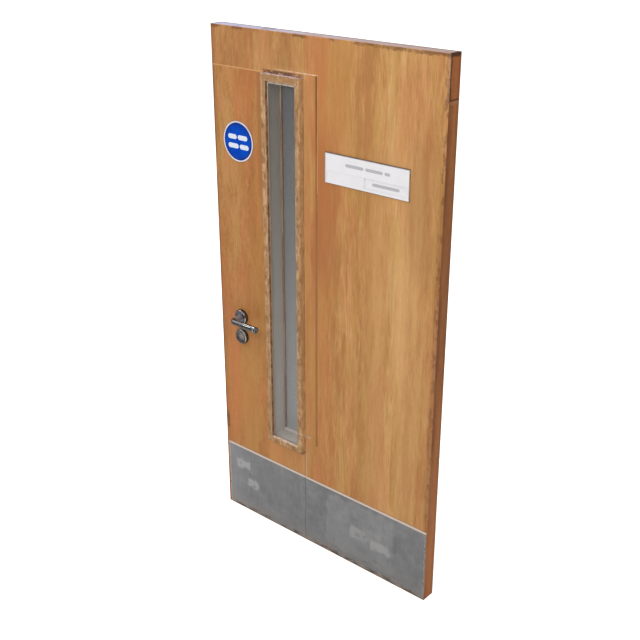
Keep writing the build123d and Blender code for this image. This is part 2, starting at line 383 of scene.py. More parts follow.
def top_wood(name, seed):
    """The top edging: bleached and dusty towards the lock edge, browner towards the hinge edge."""
    look = Look(name, seed, specular=0.2)
    figure, pores = wood_figure(look, along_x=True)
    along = look.step(look.x + figure * 0.25, from_lock_edge(150), from_lock_edge(1050))
    wood = look.ramp(along, (0.0, (174, 172, 200)), (0.35, (182, 169, 178)), (1.0, (178, 154, 148)))
    mark = (look.span(look.x, from_lock_edge(236), from_lock_edge(280), 0.012)
            * look.patches((60, 60, 60), 3, 0.4, 0.5))
    rear = look.step(look.y, BACK_FACE - 0.016, BACK_FACE - 0.008)
    wood = look.stain(
        wood,
        (look.patches((30, 45, 45), 7, 0.52, 0.62), 0.35, (150, 112, 96)),
        (mark, 0.7, (112, 108, 118)),
        (rear, 0.75, (86, 72, 76)),
        (pores, 0.25, (120, 92, 82)),
    )
    return look.finish(Base_Color=wood, Roughness=0.7, Normal=look.bump(figure, 0.2, 0.6 * MM))


BEAD_TONES = ((0.38, (148, 104, 64)), (0.5, (170, 128, 86)), (0.62, (188, 150, 106)))
LOCK_BEAD_LIFT = 9  # the beads by the lock are so much paler
# The sill's reveal faces up and is painted pale as lit; the side reveals are painted dark as shaded.
BEAD_REVEALS = {"sill": ((232, 212, 200), (206, 176, 158)),  # clean and dirty
                "side": ((166, 124, 94), (116, 76, 50))}
SCUFF_HEIGHT = 493 * MM
SCUFF_SLOPE = 0.7  # it rises so much for each metre that the bead stands out


def bead_wood(name, seed, part):
    """A worn glazing bead: pale and mottled, darker along its outer side. Its side reveals are painted dark
    as shade, its sill reveal and the head's top are painted pale as light, its outer flank is painted lighter
    against its shade, and its inner arris carries a painted highlight.
    """
    look = Look(name, seed, specular=0.25)
    x, y, z = look.x, look.y, look.z
    figure, pores = wood_figure(look, part in ("head", "sill"))
    lift = LOCK_BEAD_LIFT if part == "lock" else 0
    wood = look.ramp(figure, *((stop, [value + lift for value in tone]) for stop, tone in BEAD_TONES))
    half = (BEADS_HIGH - BEADS_LOW) / 2
    middle = BEADS_LOW + half
    inside = look.most(abs(x - middle.x) - (half.x - BEAD_WIDTH), abs(z - middle.z) - (half.z - BEAD_WIDTH))
    # The reveal carries painted shade on the sides and head, and painted light on the sill.
    reveal = look.step(inside, 0.0016, 0.0006)
    outer = look.step(inside, BEAD_WIDTH - 0.0045, BEAD_WIDTH - 0.0005)
    # Painted light: the outer flank is lightened against the shade it gets.
    flank = look.step(inside, BEAD_WIDTH - 0.0007, BEAD_WIDTH - 0.0002)
    near_sheet = look.step(abs(y), BACK_FACE + 0.003, BACK_FACE + 0.0008)
    flank_foot = flank * near_sheet * look.patches((40, 40, 12), 17, 0.4, 0.56)
    corner = (look.step(x, BEADS_HIGH.x - 0.014, BEADS_HIGH.x - 0.003)
              * look.step(z, BEADS_LOW.z + 0.014, BEADS_LOW.z + 0.003))
    dirt = look.patches((70, 70, 36), 5, 0.46, 0.58)
    olive = look.patches((40, 40, 34), 7, 0.46, 0.6)
    pale = look.patches((46, 46, 20), 9, 0.5, 0.57)
    dark = look.patches((56, 56, 24), 15, 0.53, 0.6)
    # Painted light: the top of the head bead is painted pale as lit, with dark specks.
    bleached = look.step(z, BEADS_HIGH.z - 0.0016, BEADS_HIGH.z - 0.0004)
    # A painted highlight along the inner front arris, in patches.
    arris = look.step(inside, 0.0062, 0.0035) * look.patches((50, 50, 12), 11, 0.4, 0.6)
    specks = look.patches((150, 60, 60), 13, 0.42, 0.56)
    wood = look.stain(
        wood,
        (olive, 0.45, (150, 114, 72)),
        (pale, 0.25 if part == "head" else 0.6, (208, 170, 126)),
        (dark, 0.3 if part == "head" else 0.58, (130, 88, 48)),
        (arris, 0.15 if part == "hinge" else 0.5, (212, 178, 142)),
        (outer, 0.4 if part == "sill" else 0.12, (122, 86, 52)),
        (outer * dirt, 0.3, (116, 78, 48)),
        (flank, 0.3, (236, 190, 136)),
        (flank_foot, 0.5, (104, 70, 40)),
        (corner, 0.5, (92, 64, 36)),
        (reveal, 0.85, look.mix(dirt, *BEAD_REVEALS["sill" if part == "sill" else "side"])),
        (bleached, 0.9, look.mix(specks, (222, 208, 216), (150, 112, 92))),
        (pores, 0.3, (110, 72, 44)),
    )
    if part == "lock":
        near_foot = look.step(z, 0.85, 0.6)
        wood = look.stain(wood, (near_foot, 0.3, (126, 90, 56)))
    if name == "front_bead_hinge":
        level = z - (FRONT_FACE - y) * SCUFF_SLOPE
        scuff = (look.step(abs(level - SCUFF_HEIGHT), 0.005, 0.002)
                 * look.step(x, BEADS_HIGH.x - 0.016, BEADS_HIGH.x - 0.012))
        wood = look.stain(wood, (scuff, 0.7, (208, 184, 166)))
    return look.finish(Base_Color=wood, Roughness=olive * 0.2 + 0.48, Normal=look.bump(olive, 0.1, 0.6 * MM))


def plain_wood(name, seed, dark, light):
    """Timber that hardly shows, such as the core behind the sheets."""
    look = Look(name, seed, roughness=0.7, specular=0.2)
    figure, pores = wood_figure(look)
    wood = look.mix(look.step(figure, 0.38, 0.62), dark, light)
    return look.finish(Base_Color=wood, Normal=look.bump(pores, -0.2, PORE_DEPTH))


def fillet_wood(name, seed):
    """The brown fillet behind the glass: its face is painted paler than its sides, as lit against shaded, and
    its foot is painted pale as lit.
    """
    look = Look(name, seed, roughness=0.6, specular=0.2)
    figure, pores = wood_figure(look)
    wood = look.ramp(figure, (0.38, (112, 72, 46)), (0.62, (150, 102, 70)))
    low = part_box("glazing_fillet")[0]
    # Painted light and shade: the face is paler than the sides, as a lit face beside shaded ones.
    face = look.step(look.y, low.y + 0.0012, low.y + 0.0004)
    near_head = look.step(look.z, 1.68, 1.84)
    # Painted light: the foot is painted pale as a lit top.
    dusty = look.step(look.z, low.z + 0.0095, low.z + 0.0075)
    wood = look.stain(wood, (face * look.patches((40, 40, 8), 3, 0.4, 0.6), 0.7, (184, 154, 116)),
                      (face * near_head, 0.75, (200, 186, 162)), (dusty, 0.9, (246, 238, 230)))
    return look.finish(Base_Color=wood, Normal=look.bump(pores, -0.2, PORE_DEPTH))


def kick_steel(name, seed, node, scuffs):
    """Dull steel sheet: cloudy, scratched and scuffed, with a rusty foot. Its bevel and outer end are worn
    bright and also painted as highlights, and its lower part is painted lighter against the shade near the
    floor.
    """
    look = Look(name, seed, metallic=0.55)
    low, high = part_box(node)
    by_lock = node.endswith("lock")
    clouds = look.noise((16, 16, 16), detail=6, roughness=0.65)
    grain = look.noise((190, 190, 24), 3)
    steel = look.ramp(clouds * 0.7 + grain * 0.3, (0.36, (120, 120, 121)), (0.5, (132, 132, 133)),
                      (0.66, (147, 147, 147)))
    scratches = look.patches((6, 6, 420), 7, 0.62, 0.68, detail=2)
    streaks = look.patches((150, 150, 22), 11, 0.58, 0.7)
    specks = look.patches((120, 120, 120), 9, 0.5, 0.58)
    from_top = high.z - look.z
    from_foot = look.z - low.z
    from_edge = abs(look.x - (low.x if by_lock else high.x))
    hazy_edge = look.step(from_edge, 0.13 if by_lock else 0.03, 0.02)
    # The bright end and the bright bevel are both worn steel and painted highlights.
    bright_edge = look.step(from_edge, 0.007, 0.005)
    chipped_edge = look.step(from_edge, 0.008, 0.003) * specks
    bevel = look.step(from_top, 0.0075, 0.0055)
    # Painted light: lighter towards the foot, against the shade near the floor.
    painted_light_at_foot = look.step(from_foot, 0.1, 0.01)
    rusty_foot = look.step(from_foot, 0.034, 0.012) * look.patches((16, 16, 60), 13, 0.44, 0.56)
    chipped_foot = look.step(from_foot, 0.026, 0.006) * look.patches((22, 22, 70), 15, 0.48, 0.56)
    foot_line = look.step(from_foot, 0.005, 0.0025)
    steel = look.stain(
        steel,
        (scratches, 0.25, (176, 175, 172)),
        (streaks, 0.3, (98, 98, 98)),
        (hazy_edge, 0.35 if by_lock else 0.1, (158, 158, 162)),
        (bright_edge, 0.6 if by_lock else 0.2, (208, 200, 192)),
        (chipped_edge, 0.6, (84, 76, 70)),
        (bevel, 0.9, (231, 214, 200)),
        (painted_light_at_foot, 0.4, (158, 154, 150)),
        (rusty_foot, 0.7, (170, 150, 138)),
        (chipped_foot, 0.8, (78, 64, 55)),
        (foot_line, 0.5, (112, 86, 66)),
    )
    if scuffs:
        edges = look.patches((34, 34, 34), 5, 0.22, 0.52)
        wobble = (look.noise((22, 22, 22), 17) - 0.5) * 0.05
        across = look.x + wobble
        up = look.z - wobble
        rubbed = look.most(*(look.span(across, from_lock_edge(left), from_lock_edge(right), 0.016)
                             * look.span(up, foot * MM, head * MM, 0.012) * edges * strength
                             for left, foot, right, head, strength in scuffs))
        steel = look.stain(steel, (rubbed, 0.72, (180, 180, 180)))
    return look.finish(Base_Color=steel, Roughness=clouds * 0.4 + 0.28,
                       Normal=look.bump(grain, 0.05, 0.3 * MM))


def furniture_steel(name, seed, dark, light):
    """Steel with faint smears."""
    look = Look(name, seed, metallic=1.0)
    smears = look.noise((40, 40, 40), detail=4, roughness=0.6)
    return look.finish(Base_Color=look.ramp(smears, (0.3, dark), (0.7, light)), Roughness=smears * 0.3 + 0.15)


def lever_steel(name, seed):
    """Dark steel of the levers: polished by hands at the elbow and grip, dull between and at the neck. The
    neck is painted lighter, and the ring and end of the tip paler, as painted highlights.
    """
    look = Look(name, seed)
    smears = look.noise((40, 40, 40), detail=4, roughness=0.6)
    steel = look.ramp(smears, (0.3, (84, 84, 84)), (0.7, (106, 105, 103)))
    dull = look.span(look.x, HANDLE.x + 0.012, HANDLE.x + 0.068, 0.012)
    tip_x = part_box("front_lever")[1].x
    # Painted highlight: the ring near the tip and its end are paler and less metallic.
    tip = look.most(look.span(look.x, tip_x - 0.0135, tip_x - 0.009, 0.0015),
                    look.step(look.x, tip_x - 0.002, tip_x - 0.0008) * 0.6)
    # Painted highlight: the neck is lighter and less metallic.
    neck = look.step(abs(look.y) - BACK_FACE, 0.06, 0.036)
    steel = look.stain(steel, (dull, 0.5, (72, 70, 68)), (neck, 0.7, (170, 168, 172)),
                       (tip, 0.45, (200, 208, 204)))
    gloss = smears * 0.3 + dull * 0.2 + neck * 0.2 - 0.02
    return look.finish(Base_Color=steel, Roughness=gloss, Metallic=1.0 - (neck * 0.55 + tip * 0.3))


def disc_steel(node, seed, dark, light):
    """The steel of a rose or escutcheon: dark, with a paler middle and a painted highlight along the upper
    right of its arris.
    """
    look = Look(node, seed, metallic=1.0)
    centre, radius = disc_of(node)
    across, up, distance = look.about(centre)
    smears = look.noise((70, 70, 70), detail=5, roughness=0.6)
    # The middle is paler.
    rubbed = look.step(distance + smears * 0.012, 0.024, 0.01)
    # Painted highlight: a bright band on the upper right of the arris.
    highlight_side = look.step(across * 0.8 + up * 0.6, 0.004, 0.018)
    polished = look.span(distance, radius - 0.0042, radius - 0.002, 0.001) * highlight_side
    steel = look.ramp(smears, (0.36, dark), (0.64, light))
    steel = look.stain(steel, (rubbed, 0.8, (158, 150, 146)), (polished, 0.75, (216, 216, 214)))
    return look.finish(Base_Color=steel, Roughness=rubbed * 0.2 - polished * 0.08 + 0.2)


def pane(name, seed, foot, head, alpha_low, alpha_high, dark, light):
    """A dusty pane: thin grey dust over clear glass, thicker towards its foot."""
    look = Look(name, seed)
    dust = look.noise((60, 60, 40), detail=5, roughness=0.65)
    share = look.step(look.z, head, foot) * 0.75 + dust * 0.25
    specks = look.patches((190, 190, 150), 5, 0.66, 0.72, detail=2)
    grey = look.stain(look.ramp(share, (0.1, dark), (0.85, light)), (specks, 0.3, (196, 194, 190)))
    return look.finish(Base_Color=grey, Alpha=share * (alpha_high - alpha_low) + alpha_low,
                       Roughness=dust * 0.25 + 0.02)


def lining(name, seed, foot, head):
    """The lining of the opening between the panes: grey-brown, paler towards the foot."""
    look = Look(name, seed, roughness=0.6, specular=0.2)
    share = look.step(look.z, head, foot) * 0.8 + look.noise((50, 50, 20), detail=4) * 0.2
    return look.finish(Base_Color=look.ramp(share, (0.1, (157, 148, 138)), (0.9, (195, 188, 179))))


def tape_look(name, seed):
    """Glazing tape, dirty in patches and paler near the head."""
    look = Look(name, seed, roughness=0.65, specular=0.2)
    dirt = look.patches((60, 60, 30), 0, 0.46, 0.64)
    below_head = look.step(look.z, BEADS_HIGH.z - 0.04, BEADS_HIGH.z - 0.14)
    pale = look.stain((204, 192, 174), (dirt, 0.6, (150, 128, 104)), (below_head, 0.8, (148, 128, 109)))
    return look.finish(Base_Color=pale)


BAR_BLUR = 0.3 * MM


def bars(look, rows):
    """A mask of plain bars with rounded ends, each as (left, right, middle, height) in millimetres."""
    found = []
    for left, right, middle, height in rows:
        radius = height / 2 * MM
        straight = (right - left) / 2 * MM - radius
        past_end = look.most(abs(look.x - from_lock_edge((left + right) / 2)) - straight, 0.0)
        distance = look.length(past_end, abs(look.z - middle * MM))
        found.append(look.step(distance, radius + BAR_BLUR, radius - BAR_BLUR))
    return look.most(*found)


def round_sign_look(node, seed, rows):
    """A blue disc with a white rim and plain white bars."""
    look = Look(node, seed, specular=0.05)
    centre, radius = disc_of(node)
    distance = look.about(centre)[-1]
    dust = look.noise((30, 30, 30), detail=5, roughness=0.6)
    blue = look.ramp(dust, (0.36, (0, 64, 174)), (0.64, (0, 78, 196)))
    white = look.ramp(dust, (0.36, (210, 210, 222)), (0.64, (236, 235, 240)))
    border = look.step(distance, radius - 0.02, radius - 0.007)
    rim = look.step(distance, radius - 0.0057, radius - 0.0049)
    edge = look.step(distance, radius - 0.0012, radius - 0.0004)
    face = look.stain(blue, (border, 0.75, (30, 48, 104)), (bars(look, rows), 1.0, (224, 230, 242)),
                      (rim, 1.0, white), (edge, 0.5, (130, 128, 140)))
    return look.finish(Base_Color=face, Roughness=dust * 0.3 + 0.15)


def plate_look(name, seed, rows=()):
    """White plastic, faintly soiled. The room plate has rows of grey bars, darker borders at its top, left
    and foot, and a paler right edge.
    """
    look = Look(name, seed)
    soil = look.noise((22, 22, 22), detail=5, roughness=0.6)
    white = look.ramp(soil, (0.34, (232, 230, 232)), (0.5, (235, 233, 235)), (0.66, (237, 235, 237)))
    if rows:
        top = look.step(look.z, PLATE_HIGH.z - 0.0024, PLATE_HIGH.z - 0.001)
        left = look.step(look.x, PLATE_LOW.x + 0.0045, PLATE_LOW.x + 0.0025)
        foot = look.step(look.z, PLATE_LOW.z + 0.0016, PLATE_LOW.z + 0.0006)
        right = look.step(look.x, PLATE_HIGH.x - 0.0012, PLATE_HIGH.x - 0.0004)
        white = look.stain(white, (bars(look, rows), 1.0, (184, 183, 186)),
                           (look.most(top, left, foot), 0.7, (96, 76, 66)), (right, 0.6, (222, 206, 188)))
    return look.finish(Base_Color=white, Roughness=soil * 0.3 + 0.2)


WORN_LINE = (160, 110, 69)
FADED_LINE = (174, 120, 72)


def line_look(name, seed, dark, light, worn_foot=None, fade=None):
    """A thin line on the face of the leaf, uneven along its length. It may be worn paler below a height,
    and fade into the wood between two distances from the lock edge in millimetres."""
    look = Look(name, seed, roughness=0.6, specular=0.2)
    uneven = look.noise((60, 60, 14), detail=4, roughness=0.6)
    tone = look.ramp(uneven, (0.36, dark), (0.64, light))
    if worn_foot:
        worn = look.step(look.z, worn_foot, 0.85 * worn_foot)
        spots = look.patches((60, 60, 9), 3, 0.54, 0.66)
        tone = look.stain(tone, (worn, 0.75, WORN_LINE), (spots, 0.4, dark))
    if fade:
        faded = look.step(look.x, from_lock_edge(fade[1]), from_lock_edge(fade[0]))
        tone = look.stain(tone, (faded, 0.85, FADED_LINE))
    return look.finish(Base_Color=tone)


BEVEL_SEGMENTS = 2
BEVEL_ANGLE = math.radians(35)  # edges sharper than this are rounded
SMOOTH_ANGLE = math.radians(40)  # edges blunter than this are shaded smooth


def soften(piece, width):
    rounding = piece.modifiers.new("rounding", "BEVEL")
    rounding.width = width
    rounding.segments = BEVEL_SEGMENTS
    rounding.limit_method = "ANGLE"
    rounding.angle_limit = BEVEL_ANGLE


def wear(name, material, bevel=0.0):
    """Gives a node's object one material, and softens its edges by a bevel."""
    piece = nodes[name]
    piece.data.materials.clear()
    piece.data.materials.append(material)
    if bevel:
        soften(piece, bevel)


def add_piece(name, form, material, body="leaf", bevel=0.0):
    """Makes an object from a bmesh, on a body of the frame."""
    mesh = bpy.data.meshes.new(name)
    bmesh.ops.recalc_face_normals(form, faces=form.faces)
    form.to_mesh(mesh)
    form.free()
    mesh.materials.append(material)
    piece = bpy.data.objects.new(name, mesh)
    bpy.context.scene.collection.objects.link(piece)
    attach(piece, body)
    if bevel:
        soften(piece, bevel)
    return piece


def add_smooth(node, ending, form, material, body="leaf"):
    """Makes a smooth piece of furniture that stands in for a node, named after it."""
    piece = add_piece(node + ending, form, material, body)
    piece.data.shade_smooth()
    piece.data.set_sharp_from_angle(angle=SMOOTH_ANGLE)
    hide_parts(node)


def ring(inner_low, inner_high, outer_low, outer_high, back, front):
    """A flat frame between two rectangles in x and z, from y = back to y = front."""
    form = bmesh.new()

    def corners(low, high, y):
        places = [(low[0], low[1]), (high[0], low[1]), (high[0], high[1]), (low[0], high[1])]
        return [form.verts.new((x, y, z)) for x, z in places]
    loops = [corners(outer_low, outer_high, back), corners(outer_low, outer_high, front),
             corners(inner_low, inner_high, front), corners(inner_low, inner_high, back)]
    for near, far in zip(loops, loops[1:] + loops[:1]):
        for i in range(len(near)):
            form.faces.new((near[i], near[i - 1], far[i - 1], far[i]))
    return form


def slab(low, high):
    """A block between two corners."""
    form = bmesh.new()
    bmesh.ops.create_cube(form, size=1.0)
    middle = (Vector(low) + Vector(high)) / 2
    size = Vector(high) - Vector(low)
    for vertex in form.verts:
        vertex.co = middle + Vector(a * b for a, b in zip(vertex.co, size))
    return form


def loft(loops, closed_ends, form=None):
    """Skins a row of loops with the same number of points, and closes its ends. It may add to a form."""
    form = bmesh.new() if form is None else form
    rows = [[form.verts.new(place) for place in loop] for loop in loops]
    for near, far in zip(rows, rows[1:]):
        for i in range(len(near)):
            form.faces.new((near[i - 1], near[i], far[i], far[i - 1]))
    if closed_ends:
        form.faces.new(rows[0])
        form.faces.new(rows[-1])
    return form


CORNER_POINTS = 6


def rounded(outline, radii):
    """The points of an open outline in a plane, with each inner corner rounded by about its radius."""
    points = [Vector(outline[0])]
    for before, corner, after, radius in zip(outline, outline[1:], outline[2:], radii):
        corner = Vector(corner)
        start = corner + (Vector(before) - corner).normalized() * radius
        end = corner + (Vector(after) - corner).normalized() * radius
        for i in range(CORNER_POINTS):
            share = i / (CORNER_POINTS - 1)
            points.append(start.lerp(corner, share).lerp(corner.lerp(end, share), share))
    return points + [Vector(outline[-1])]


# Facing sheets. Bands are (left, right, foot, head) in millimetres, a strength and a colour. Crowns are a
# distance from the lock edge, a foot and a head in millimetres, and a strength.
SHEETS = {
    "head": dict(
        seed=9, tones=((138, 90, 46), (174, 125, 74), (202, 156, 100)),
        redness=0.05, flame=0.35, shortness=1.5,
        bands=[(-50, 190, 1900, 2100, 0.3, (168, 110, 60)), (215, 430, 1900, 2100, 0.18, (208, 160, 104))],
        crowns=[(570, 1880, 2060, 0.3)]),
    "lock": dict(
        seed=5, tones=((145, 91, 46), (168, 115, 62), (189, 138, 83)),
        redness=0.1, flame=0.6, shortness=2.2,
        # The first lock band is painted light: it lightens the lower part of the sheet against the shade that
        # deepens towards the floor.
        bands=[(-50, 300, 0, 650, 0.3, (204, 137, 76)), (115, 175, 330, 760, 0.35, (184, 138, 72)),
               (25, 75, 470, 720, 0.3, (208, 122, 74)), (190, 240, 820, 1200, 0.35, (184, 134, 70))],
        crowns=[(150, 850, 1550, 0.25)]),
    "hinge": dict(
        seed=6, tones=((174, 121, 68), (199, 148, 91), (213, 168, 109)),
        redness=0.08, flame=0.6, shortness=1.0,
        bands=[(900, 960, 200, 1600, 0.3, (222, 174, 116)), (745, 815, 200, 1600, 0.4, (184, 130, 78)),
               (530, 570, 200, 1600, 0.25, (196, 122, 70)), (970, 1025, 200, 1700, 0.25, (176, 122, 72)),
               (510, 590, 1280, 1560, 0.5, (158, 94, 50)), (510, 620, 1620, 1900, 0.3, (184, 112, 56)),
               (930, 985, 1440, 1600, 0.35, (156, 112, 66)), (860, 915, 1000, 1260, 0.3, (226, 180, 120))],
        crowns=[(600, 350, 1450, 0.24)]),
}
BEAD_SEEDS = {"lock": 20, "hinge": 21, "head": 22, "sill": 23}
for side, shift in SEED_SHIFT.items():
    for part, sheet in SHEETS.items():
        wear(side + "facing_" + part, veneer(side + part + "_sheet", shift, **sheet))
    for part, seed in BEAD_SEEDS.items():
        wear(side + "bead_" + part, bead_wood(side + "bead_" + part, seed + shift, part))

# Edges and core
wear("lipping_hinge", edge_wood("lipping_hinge", 61))
wear("lipping_lock", edge_wood("lipping_lock", 62))
wear("lipping_head", top_wood("lipping_head", 63))
wear("lipping_foot", edge_wood("lipping_foot", 64, along_x=True))
core_timber = plain_wood("core_timber", 71, (170, 130, 88), (190, 150, 105))
for part in ("lock_stile", "hinge_stile", "head_rail", "foot_rail"):
    wear("core_" + part, core_timber)

# Kick plates, each with a seed and its scuffs as (left, foot, right, head) in millimetres and a strength
KICK_PLATES = (
    ("front_", "lock", 35, [(64, 206, 132, 236, 1.0), (131, 127, 172, 154, 1.0)]),
    ("front_", "hinge", 36, [(694, 128, 752, 182, 0.85), (748, 150, 830, 200, 0.5), (790, 124, 872, 154, 1.0),
                             (570, 50, 890, 280, 0.3)]),
    ("back_", "lock", 42, []),
    ("back_", "hinge", 43, []),
)
for side, part, seed, scuffs in KICK_PLATES:
    node = side + "kick_plate_" + part
    wear(node, kick_steel(side + "kick_" + part, seed, node, scuffs))

# Lever furniture and lock
DISC_RIM = 5.0 * MM  # width of the flat rim
DISC_SLOPE = 7.0 * MM  # width of the slope from the rim to the floor of the dish
DISC_DISH = 5.0 * MM  # depth of that floor
DISC_ARRISES = (4.5 * MM, 0.5 * MM, 2.0 * MM, 0.3 * MM)  # from the outer edge to the middle
LEAST_BORE = 0.4 * MM
ROSE_BORE = 10.3 * MM
BAR_RADIUS = 10.0 * MM
ELBOW_RADIUS = 18.0 * MM
ELBOW_PARTS = 16
GRIP_RADIUS = 13.0 * MM
GRIP_LENGTH = 74.0 * MM
GRIP_ARRISES = (1.0 * MM, 4.6 * MM)  # at its root and its tip
TIP_RADIUS = 0.3 * MM
DISC_SIDES = 72
LEVER_SIDES = 36


def turn(sides):
    """The angles of so many points all round."""
    return [2 * math.pi * i / sides for i in range(sides)]


def turned_disc(node, outwards, bore):
    """A dished round plate with soft arrises, turned about the middle of its node."""
    low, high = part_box(node)
    middle, outer = disc_of(node)
    thickness = high.y - low.y
    rim = outer - DISC_RIM
    floor_height = thickness - DISC_DISH
    inner = max(bore, LEAST_BORE)
    outline = [(outer, 0.0), (outer, thickness), (rim, thickness), (rim - DISC_SLOPE, floor_height),
               (inner, floor_height), (inner, 0.0)]
    wall = outwards * BACK_FACE
    loops = [[(middle.x + radius * math.cos(a), wall + outwards * height, middle.z + radius * math.sin(a))
              for a in turn(DISC_SIDES)] for radius, height in rounded(outline, DISC_ARRISES)]
    return loft(loops, closed_ends=False)


def round_lever(node, outwards):
    """A lever with a smooth elbow and a soft-ended grip, on the line of its node."""
    low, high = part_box(node)
    axis_z = (low.z + high.z) / 2
    neck_x = low.x + BAR_RADIUS
    tip_x = high.x
    grip_x = tip_x - GRIP_LENGTH
    root_y = high.y if outwards < 0 else low.y
    grip_y = low.y + GRIP_RADIUS if outwards < 0 else high.y - GRIP_RADIUS
    stations = [((neck_x, root_y), (0.0, outwards), BAR_RADIUS)]
    for i in range(ELBOW_PARTS + 1):
        angle = math.pi / 2 * i / ELBOW_PARTS
        place = (neck_x + ELBOW_RADIUS * (1 - math.cos(angle)),
                 grip_y - outwards * ELBOW_RADIUS * (1 - math.sin(angle)))
        stations.append((place, (math.sin(angle), outwards * math.cos(angle)), BAR_RADIUS))
    outline = [(grip_x, BAR_RADIUS), (grip_x, GRIP_RADIUS), (tip_x, GRIP_RADIUS), (tip_x, TIP_RADIUS)]
    for x, radius in rounded(outline, GRIP_ARRISES):
        stations.append(((x, grip_y), (1.0, 0.0), radius))
    loops = []
    for (x, y), (along_x, along_y), radius in stations:
        loops.append([(x - along_y * radius * math.cos(a), y + along_x * radius * math.cos(a),
                       axis_z + radius * math.sin(a)) for a in turn(LEVER_SIDES)])
    return loft(loops, closed_ends=True)


DISCS = (("rose", ROSE_BORE, 59, (82, 80, 86), (114, 110, 116)),
         ("escutcheon", 0.0, 65, (80, 78, 78), (110, 108, 106)))
lock_steel = furniture_steel("lock_steel", 53, (140, 138, 134), (170, 167, 162))
hand_steel = lever_steel("lever_steel", 51)
for side, outwards in OUTWARDS.items():
    for part, bore, seed, dark, light in DISCS:
        steel = disc_steel(side + part, seed, dark, light)
        add_smooth(side + part, "_turned", turned_disc(side + part, outwards, bore), steel)
    add_smooth(side + "lever", "_round", round_lever(side + "lever", outwards), hand_steel, "lever")
for node in ("spindle", "mortice_lock", "latch_bolt"):
    wear(node, lock_steel)

SCREW_RADIUS = 4.2 * MM
SCREW_CROWN = 0.84  # radius of the top of the head, as a share
SCREW_SLOT = 1.2 * MM
SCREW_PROUD = 0.5 * MM
SCREW_FROM_END = 13.0 * MM
SCREW_PARTS = 14  # of each half turn


def slotted_head(face_x, z):
    """The two raised halves of a slotted screw head on the forend, which faces the lock edge."""
    form = bmesh.new()
    for half in (0.0, math.pi):
        loops = []
        for x, radius in ((face_x + SCREW_PROUD, SCREW_RADIUS), (face_x - 0.5 * SCREW_PROUD, SCREW_RADIUS),
                          (face_x - SCREW_PROUD, SCREW_CROWN * SCREW_RADIUS)):
            start = math.asin(SCREW_SLOT / 2 / radius)
            angles = [half + start + (math.pi - 2 * start) * i / SCREW_PARTS for i in range(SCREW_PARTS + 1)]
            loops.append([(x, radius * math.cos(a), z + radius * math.sin(a)) for a in angles])
        loft(loops, closed_ends=True, form=form)
    return form


screw_steel = furniture_steel("screw_steel", 54, (84, 82, 80), (112, 110, 106))
forend_low, forend_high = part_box("mortice_lock")
for name, z in (("lower", forend_low.z + SCREW_FROM_END), ("upper", forend_high.z - SCREW_FROM_END)):
    add_piece("forend_screw_" + name, slotted_head(forend_low.x, z), screw_steel)

# Vision panel. Each pane's dust hides so much of what is behind at its head and at its foot.
FRONT_DUST = (0.03, 0.1, (170, 172, 172), (190, 190, 188))
BACK_DUST = (0.92, 0.98, (118, 117, 119), (168, 170, 170))
pane_ends = [corner.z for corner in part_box("back_glass")]
wear("front_glass", pane("glass_front", 82, *pane_ends, *FRONT_DUST))
wear("back_glass", pane("glass_back", 83, *pane_ends, *BACK_DUST))
wear("spacer_frame", lining("spacer", 84, *pane_ends))
wear("glazing_fillet", fillet_wood("fillet_wood", 85))

TAPE_SIDE = 5.2 * MM
TAPE_HEAD = 9.0 * MM
TAPE_FOOT = 1.5 * MM
TAPE_THICKNESS = 0.8 * MM
TRIM_BEVEL = 0.3 * MM
tape = tape_look("glazing_tape", 86)
sight_low = (BEADS_LOW.x + BEAD_WIDTH, BEADS_LOW.z + BEAD_WIDTH)
sight_high = (BEADS_HIGH.x - BEAD_WIDTH, BEADS_HIGH.z - BEAD_WIDTH)
glass_faces = {"front_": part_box("front_glass")[0].y, "back_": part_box("back_glass")[1].y}
for side, outwards in OUTWARDS.items():
    form = ring((sight_low[0] + TAPE_SIDE, sight_low[1] + TAPE_FOOT),
                (sight_high[0] - TAPE_SIDE, sight_high[1] - TAPE_HEAD),
                sight_low, sight_high, glass_faces[side], glass_faces[side] + outwards * TAPE_THICKNESS)
    add_piece(side + "glazing_tape", form, tape, bevel=TRIM_BEVEL)

# Lines on the front face, round the vision panel at some distance. Places are in millimetres.
LINE_BACK = FRONT_FACE + 0.4 * MM
LINE_FRONT = FRONT_FACE - 0.25 * MM
LINE_BEVEL = 0.1 * MM
dark_line = line_look("line_dark", 87, (100, 62, 30), (130, 86, 46), worn_foot=1.82, fade=(501.5, 510.0))
dust_line = line_look("line_dust", 89, (176, 156, 132), (206, 188, 168))
pale_line = line_look("line_pale", 88, (200, 150, 102), (222, 180, 136))
level_line = line_look("line_level", 90, (206, 158, 114), (244, 216, 186))
for name, left, foot, right, head, material in (
        ("front_line_upright", 501.5, 466.0, 511.8, 1910.0, dark_line),
        ("front_line_border", 511.8, 1500.0, 513.4, 1910.0, pale_line),
        ("front_line_level", 317.0, 1910.0, 513.4, 1913.4, level_line),
        ("front_line_foot", 449.5, 489.8, 476.5, 495.4, dust_line)):
    form = slab((from_lock_edge(left), LINE_FRONT, foot * MM), (from_lock_edge(right), LINE_BACK, head * MM))
    add_piece(name, form, material, bevel=LINE_BEVEL)

